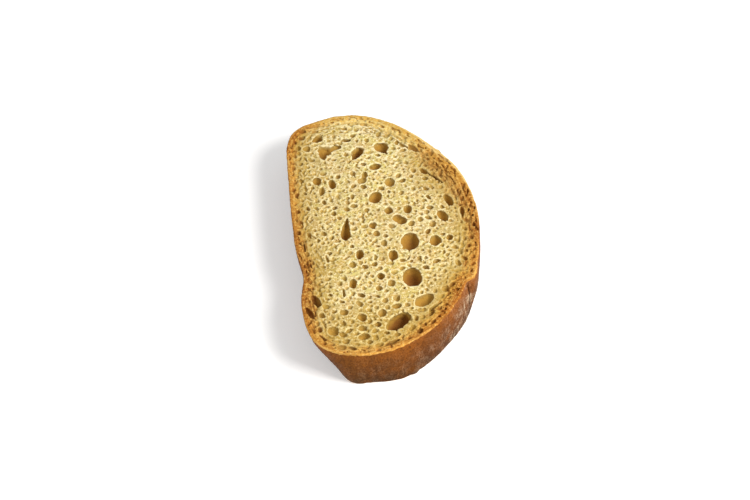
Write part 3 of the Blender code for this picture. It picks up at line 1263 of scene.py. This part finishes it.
@dataclass(frozen=True)
class BreadFinish:
    """Dry wheat crumb inside a baked crust with flour on it. Shade is partly painted into the
    crumb's hollows and the wall's lower part, and highlights onto the crumb's ridges and the rim.

    cells are the scale, opening and strength of each size of tiny cells. The fields that end in
    scale are the sizes of the noises, in features per metre.
    """

    crumb: Colour = linear(207, 190, 131)
    pale: Colour = linear(222, 209, 157)
    strand: Colour = linear(252, 239, 194)
    dull: Colour = linear(234, 212, 146)
    warmth: Colour = (1.0, 0.98, 0.54)
    blush: Colour = (1.0, 0.8, 0.76)
    shade: Colour = linear(184, 149, 70)
    # The next three colours are painted shade in the crumb's dents, pores and deepest tiny cells,
    # the last two partly the darker skin of the pores' walls too.
    cell: Colour = linear(162, 132, 60)
    pore: Colour = linear(176, 134, 56)
    deep: Colour = linear(138, 88, 38)
    straw: Colour = linear(240, 210, 124)
    honey: Colour = linear(216, 178, 90)
    gold: Colour = linear(208, 158, 66)
    amber: Colour = linear(184, 116, 42)
    umber: Colour = linear(182, 140, 72)
    burnt: Colour = linear(146, 78, 24)
    fleck: Colour = linear(232, 190, 106)
    pit: Colour = linear(126, 66, 18)
    char: Colour = linear(98, 46, 12)
    # The next two colours are the crust rim's painted highlight; the second is also the paler rim
    # of a less baked crust.
    rim: Colour = linear(230, 167, 68)
    cream_rim_and_highlight: Colour = linear(242, 210, 136)
    tan: Colour = linear(140, 78, 20)
    brown: Colour = linear(106, 57, 12)
    dark: Colour = linear(62, 34, 9)
    olive: Colour = linear(112, 76, 26)
    ash: Colour = linear(104, 72, 46)
    flour: Colour = linear(202, 176, 144)
    cells: tuple[tuple[float, float, float], ...] = (
        (420.0, 0.52, 0.5), (700.0, 0.52, 0.65), (1150.0, 0.56, 0.55),
    )
    layer_scale: float = 100.0
    pale_scale: float = 130.0
    warm_scales: tuple[float, float] = (80.0, 260.0)
    blush_scale: float = 200.0
    strand_scale: float = 800.0
    speck_scale: float = 900.0
    band_scale: float = 260.0
    streak_scale: float = 600.0
    blotch_scale: float = 220.0
    grain_scale: float = 1500.0
    stain_scale: float = 60.0
    flour_scale: float = 200.0
    skin_scale: float = 450.0
    bump_scale: float = 1100.0
    bump: float = 0.3
    bump_strength: float = 0.5
    roughness: float = 0.9
    crust_roughness: float = 0.75
    gloss: float = 0.1

    def layers(self, board: Board) -> Socket:
        """Streaks that run along the crust, one above the other."""
        fast = board.times(board.noted("inside"), 1.3)
        return board.clouds(board.place(), self.layer_scale, 4.0, 0.65, fast)

    def crumb_tint(self, board: Board, dents: Socket, dark: Socket) -> Socket:
        """Colour the crumb: pale strands, a highlight painted on ridges, and painted shade, olive
        in dents, tiny cells and layer gaps and brown deep in the pores, there partly their darker
        skin.

        Args:
            board: The material's board.
            dents: The tiny cells.
            dark: The few of them that go deep.

        Returns:
            The colour.
        """
        place, inside = board.place(), board.noted("inside")
        hollow, ridge = board.noted("hollow"), board.noted("ridge")
        paler = board.span(board.clouds(place, self.pale_scale), 0.35, 0.65)
        ground = board.mix(paler, self.crumb, self.pale)
        broad, small = (board.clouds(place, scale, 1.0) for scale in self.warm_scales)
        broad = board.span(broad, 0.35, 0.65, 0.0, 0.55)
        small = board.span(small, 0.35, 0.65, 0.0, 0.45)
        ground = board.mix(board.plus(broad, small), ground, self.warmth, "MULTIPLY")
        rosy = board.span(board.clouds(place, self.blush_scale, 2.0), 0.35, 0.65, 0.0, 0.8)
        ground = board.mix(rosy, ground, self.blush, "MULTIPLY")

        near_crust = board.span(inside, 4.0, 28.0, 0.75, 0.0)
        aged = board.times(board.span(board.noted("bake"), 0.5, 1.0), near_crust)
        along = board.put("ShaderNodeSeparateXYZ", {0: place}).outputs["Y"]
        aged = board.most(aged, board.span(along, -0.03, -0.06, 0.0, 0.95))
        ground = board.mix(aged, ground, self.shade)
        light = board.mix(board.times(aged, 0.9), self.strand, self.dull)
        strands = board.span(board.clouds(place, self.strand_scale, 4.0, 0.65), 0.5, 0.64)
        ground = board.mix(strands, ground, light)
        # Paler on sharp ridges: partly the paler walls of the crumb's cells, partly a painted
        # highlight.
        ground = board.mix(board.span(ridge, 0.52, 0.68, 0.0, 0.7), ground, light)

        drawn = board.times(board.noted("strands"), board.span(inside, 5.0, 15.0, 1.0, 0.0))
        layers = self.layers(board)
        ground = board.mix(board.times(drawn, board.span(layers, 0.52, 0.62)), ground, self.strand)
        # Painted shade: the gaps between drawn layers, the tiny cells that the mesh is too coarse
        # for and the few deep ones are coloured as if shaded.
        gaps = board.times(drawn, board.span(layers, 0.5, 0.4, 0.0, 0.9))
        steps = ((gaps, self.cell), (dents, self.cell), (board.times(dark, 0.8), self.deep))
        for share, colour in steps:
            ground = board.mix(share, ground, colour)
        # Painted shade in dents and shallow hollows of the mesh, where shade falls.
        painted_dent_shade = board.most(board.span(hollow, 0.03, 0.2), board.span(ridge, 0.48, 0.3))
        ground = board.mix(board.times(painted_dent_shade, 0.7), ground, self.cell)
        # Tan to brown deeper in the pores: painted shade, and partly the darker skin of their
        # walls.
        ground = board.mix(board.span(hollow, 0.1, 0.5, 0.0, 0.95), ground, self.pore)
        return board.mix(board.span(hollow, 0.42, 1.1, 0.0, 0.95), ground, self.deep)

    def band_tint(self, board: Board, crumb: Socket, dents: Socket) -> Socket:
        """Colour the browned band round the cut: straw, gold and amber, a rim that is partly a
        painted highlight and partly paler where less baked, and holes partly in painted shade.

        Args:
            board: The material's board.
            crumb: The crumb's colour, which the band fades into.
            dents: The smallest of the tiny cells.

        Returns:
            The colour.
        """
        place, bake, rind = board.place(), board.noted("bake"), board.noted("rind")
        strands, noted_pale_rim_and_highlight = board.noted("strands"), board.noted("pale_rim_and_highlight")
        well, burnt = board.span(bake, 0.5, 1.0), board.span(bake, 1.0, 1.5)
        layers = self.layers(board)
        specks = board.clouds(place, self.speck_scale, 3.0, 0.65)
        coarse = board.times(board.less(board.clouds(place, self.band_scale), 0.5), 1.2)
        drift = board.times(board.less(layers, 0.5), 0.9)
        depth = board.plus(rind, board.plus(coarse, drift))
        soft = board.times(strands, board.span(bake, 1.4, 1.0))

        outer = board.mix(burnt, board.mix(well, self.honey, self.amber), self.burnt)
        outer = board.mix(board.times(soft, 0.6), outer, self.gold)
        drawn = board.times(well, strands)
        inner = board.mix(drawn, board.mix(well, self.straw, self.gold), self.umber)
        fading = board.times(well, board.span(rind, 1.0, 3.0, 0.6, 0.0))
        band = board.mix(board.span(depth, 0.75, 1.5), inner, board.mix(fading, crumb, self.shade))
        band = board.mix(board.span(depth, 0.15, 1.05), outer, band)

        # Painted highlight along the crust's very rim; where the noted value is above 1 the rim is
        # widened into a pale band, partly the paler colour of a less baked crust.
        edge = board.plus(board.noted("inside"), board.times(coarse, 1.3))
        wider = board.most(board.less(noted_pale_rim_and_highlight, 1.0), 0.0)
        edge = board.less(edge, board.times(wider, 1.5))
        pale_rim_and_highlight = board.times(noted_pale_rim_and_highlight, board.span(edge, 0.3, 1.1, 0.9, 0.0))
        pale_rim_and_highlight = board.maths("MINIMUM", pale_rim_and_highlight, 0.75)
        band = board.mix(pale_rim_and_highlight, band, board.mix(strands, self.rim, self.cream_rim_and_highlight))

        baked = board.span(depth, 0.9, 1.5, 1.0, 0.0)
        glow = board.most(board.span(specks, 0.52, 0.64), board.span(layers, 0.55, 0.66))
        glow = board.times(baked, board.times(glow, 0.65))
        band = board.mix(glow, band, board.mix(well, self.pale, self.fleck))
        # Darker holes in the band: painted shade in its dents and hollows, mixed with the crust's
        # own darker mottling.
        holes = board.most(dents, board.span(board.noted("hollow"), 0.04, 0.16))
        mottle = board.most(board.span(specks, 0.46, 0.36), board.span(layers, 0.47, 0.38))
        holes = board.times(board.most(holes, mottle), board.span(bake, 0.5, 0.9, 0.45, 0.8))
        holes = board.times(baked, holes)
        holes = board.times(holes, board.less(1.0, board.times(pale_rim_and_highlight, 0.6)))
        holes = board.times(holes, board.span(soft, 0.0, 1.0, 1.0, 0.68))
        pit = board.mix(soft, board.mix(burnt, self.pit, self.char), self.deep)
        return board.mix(holes, band, board.mix(well, self.umber, pit))

    def wall_tint(self, board: Board) -> Socket:
        """Colour the crust wall: tan under the rim, brown below and darker towards the underside,
        partly the crust's own colour and partly painted shade, floured in places.

        Args:
            board: The material's board.

        Returns:
            The colour.
        """
        place, height = board.place(), board.noted("height")
        upright = board.put("ShaderNodeVectorMath", {0: place}, operation="MULTIPLY")
        upright.inputs[1].default_value = (1.0, 1.0, 0.5)
        streaks = board.clouds(upright.outputs["Vector"], self.streak_scale, 4.0, 0.65)
        blotches = board.clouds(place, self.blotch_scale, 4.0, 0.6)
        grains = board.clouds(place, self.grain_scale, 3.0, 0.7)
        stains = board.clouds(place, self.stain_scale, 2.0)
        # From dark at the underside to brown and tan under the rim: partly the crust's own colour,
        # partly painted shade.
        wall = self.dark
        for share, colour in (
            (board.span(height, 0.0, 0.5), self.brown),
            (board.span(height, 0.5, 1.0), self.tan),
            (board.span(board.noted("bake"), 0.5, 1.0, 0.6, 0.0), self.olive),
            (board.span(blotches, 0.42, 0.68, 0.0, 0.35), self.tan),
            (board.span(streaks, 0.5, 0.7, 0.0, 0.35), self.dark),
            (board.span(grains, 0.5, 0.36, 0.0, 0.6), self.dark),
            (board.span(grains, 0.56, 0.7, 0.0, 0.3), self.amber),
            (board.span(stains, 0.46, 0.66, 0.0, 0.3), self.dark),
        ):
            wall = board.mix(share, wall, colour)

        patch = board.span(board.clouds(place, self.flour_scale), 0.4, 0.62, 0.1, 1.0)
        low = board.span(height, 0.95, 0.45, 0.3, 1.0)
        dusty = board.maths("MULTIPLY", board.noted("flour"), board.times(patch, low), True)
        lines = board.span(streaks, 0.5, 0.38, 0.0, 0.7)
        dust = board.maths("ADD", board.span(grains, 0.48, 0.6), lines, True)
        dust = board.most(dust, board.span(board.noted("ridge"), 0.56, 0.7))
        wall = board.mix(board.times(dusty, 0.3), wall, self.ash)
        return board.mix(board.times(dusty, board.times(dust, 0.85)), wall, self.flour)

    def build(self) -> bpy.types.Material:
        """Make the material of the slice.

        Returns:
            The material.
        """
        material = bpy.data.materials.new("bread")
        material.use_nodes = True
        board = Board(material.node_tree)
        shader = material.node_tree.nodes["Principled BSDF"]
        place = board.place()
        cells = cell_group()
        dents, dark = [], []
        for scale, opening, strength in self.cells:
            node = board.put("ShaderNodeGroup", node_tree=cells)
            for name, value in (("Place", place), ("Scale", scale), ("Open", opening)):
                board.feed(node.inputs[name], value)
            dents.append(board.times(node.outputs["Dents"], strength))
            dark.append(node.outputs["Dark"])
        dent = board.most(dents[0], board.most(dents[1], dents[2]))

        frayed = board.span(board.noted("height"), 0.1, 0.5, 0.0, 0.8)
        ragged = board.times(board.less(board.clouds(place, self.skin_scale), 0.5), frayed)
        skin = board.span(board.plus(board.noted("skin"), ragged), 0.3, 0.7)
        crumb = self.crumb_tint(board, dent, dark[2])
        cut = self.band_tint(board, crumb, dents[2])
        board.feed(shader.inputs["Base Color"], board.mix(skin, cut, self.wall_tint(board)))
        rough = board.span(skin, 0.0, 1.0, self.roughness, self.crust_roughness)
        board.feed(shader.inputs["Roughness"], rough)
        shader.inputs["Specular IOR Level"].default_value = self.gloss

        grain = board.clouds(place, self.bump_scale, 4.0, 0.65)
        holes = board.times(dent, board.span(skin, 0.0, 1.0, 1.0, 0.15))
        height = board.less(board.times(grain, 0.7), holes)
        feeds = {"Distance": self.bump * MM, "Strength": self.bump_strength, "Height": height}
        board.feed(shader.inputs["Normal"], board.put("ShaderNodeBump", feeds).outputs["Normal"])
        return material


# ---- Studio


@dataclass(frozen=True)
class Lamp:
    """A square soft light that looks at the slice.

    place is where it hangs and size the length of its side, both in metres, and power is in
    watts.
    """

    name: str
    place: tuple[float, float, float]
    size: float
    power: float
    tint: Colour

    def hang(self) -> None:
        """Put the light in the scene."""
        data = bpy.data.lights.new(self.name, "AREA")
        data.size, data.energy, data.color = self.size, self.power, self.tint
        lamp = bpy.data.objects.new(self.name, data)
        lamp.location = self.place
        lamp.rotation_euler = (-Vector(self.place)).to_track_quat("-Z", "Y").to_euler()
        bpy.context.collection.objects.link(lamp)


@dataclass
class Studio:
    """Pale floor, soft lights and the camera.

    The camera looks at a place near the slice's middle, and sees what lies within its sight, in
    metres. floor_size is in metres too. sky_seen is how bright the surroundings look to the
    camera, while sky_light is what they shed.
    """

    looks_at: tuple[float, float, float] = (-7.06, -14.63, 20.0)
    distance: float = 760.0
    sight: tuple[float, float] = (0.01, 20.0)
    azimuth: float = -6.0
    elevation: float = 48.0
    lens: float = 81.2
    floor_size: float = 4.0
    floor_colour: Colour = (0.9, 0.9, 0.9)
    floor_glow: float = 0.3
    floor_gap: float = 0.2
    floor_roughness: float = 0.9
    floor_gloss: float = 0.1
    white: Colour = (1.0, 1.0, 1.0)
    sky_light: float = 0.42
    sky_seen: float = 0.68
    lamps: tuple[Lamp, ...] = (
        Lamp("key", (0.57, -0.33, 0.66), 0.42, 9.4, (1.0, 0.98, 0.95)),
        Lamp("fill", (-0.6, -0.6, 0.7), 0.9, 1.8, (1.0, 0.99, 0.97)),
    )

    def floor(self) -> None:
        """Lay a pale floor under the slice, which can be seen through from below."""
        deselect_all()
        place = (0.0, 0.0, -self.floor_gap * MM)
        bpy.ops.mesh.primitive_plane_add(size=self.floor_size, location=place)
        floor = bpy.context.object
        floor.name = "floor"
        material = bpy.data.materials.new("floor")
        material.use_nodes = True
        board = Board(material.node_tree)
        shader = material.node_tree.nodes["Principled BSDF"]
        for name, entry in (
            ("Base Color", self.floor_colour), ("Roughness", self.floor_roughness),
            ("Specular IOR Level", self.floor_gloss), ("Emission Color", self.white),
            ("Emission Strength", self.floor_glow),
        ):
            board.feed(shader.inputs[name], entry)
        back = board.put("ShaderNodeNewGeometry").outputs["Backfacing"]
        clear = board.put("ShaderNodeBsdfTransparent").outputs["BSDF"]
        both = board.put("ShaderNodeMixShader", {0: back, 1: shader.outputs["BSDF"], 2: clear})
        board.feed(material.node_tree.nodes["Material Output"].inputs["Surface"], both.outputs[0])
        floor.data.materials.append(material)

    def light(self) -> None:
        """Hang the soft key light and the fill, and set the pale surroundings."""
        for lamp in self.lamps:
            lamp.hang()
        world = bpy.data.worlds.new("studio")
        world.use_nodes = True
        board = Board(world.node_tree)
        sky = world.node_tree.nodes["Background"]
        board.feed(sky.inputs["Color"], self.white)
        seen = board.put("ShaderNodeLightPath").outputs["Is Camera Ray"]
        strength = board.span(seen, 0.0, 1.0, self.sky_light, self.sky_seen)
        board.feed(sky.inputs["Strength"], strength)
        bpy.context.scene.world = world
        bpy.context.scene.view_settings.view_transform = "Standard"

    def camera(self) -> None:
        """Set the camera at the photograph's viewing angle."""
        turn, rise = math.radians(self.azimuth), math.radians(self.elevation)
        flat = math.cos(rise)
        back = Vector((math.sin(turn) * flat, -math.cos(turn) * flat, math.sin(rise)))
        data = bpy.data.cameras.new("camera")
        data.lens = self.lens
        data.clip_start, data.clip_end = self.sight
        camera = bpy.data.objects.new("camera", data)
        camera.location = (Vector(self.looks_at) + back * self.distance) * MM
        camera.rotation_euler = (-back).to_track_quat("-Z", "Y").to_euler()
        bpy.context.collection.objects.link(camera)
        bpy.context.scene.camera = camera


def main() -> None:
    """Build the slice and its studio."""
    logging.basicConfig(level=logging.INFO, format="%(name)s: %(message)s")
    studio = Studio()
    studio.floor()
    studio.light()
    studio.camera()
    edge = SliceEdge()
    BreadSlice(edge, Foam(edge)).build()


if __name__ == "__main__":
    main()
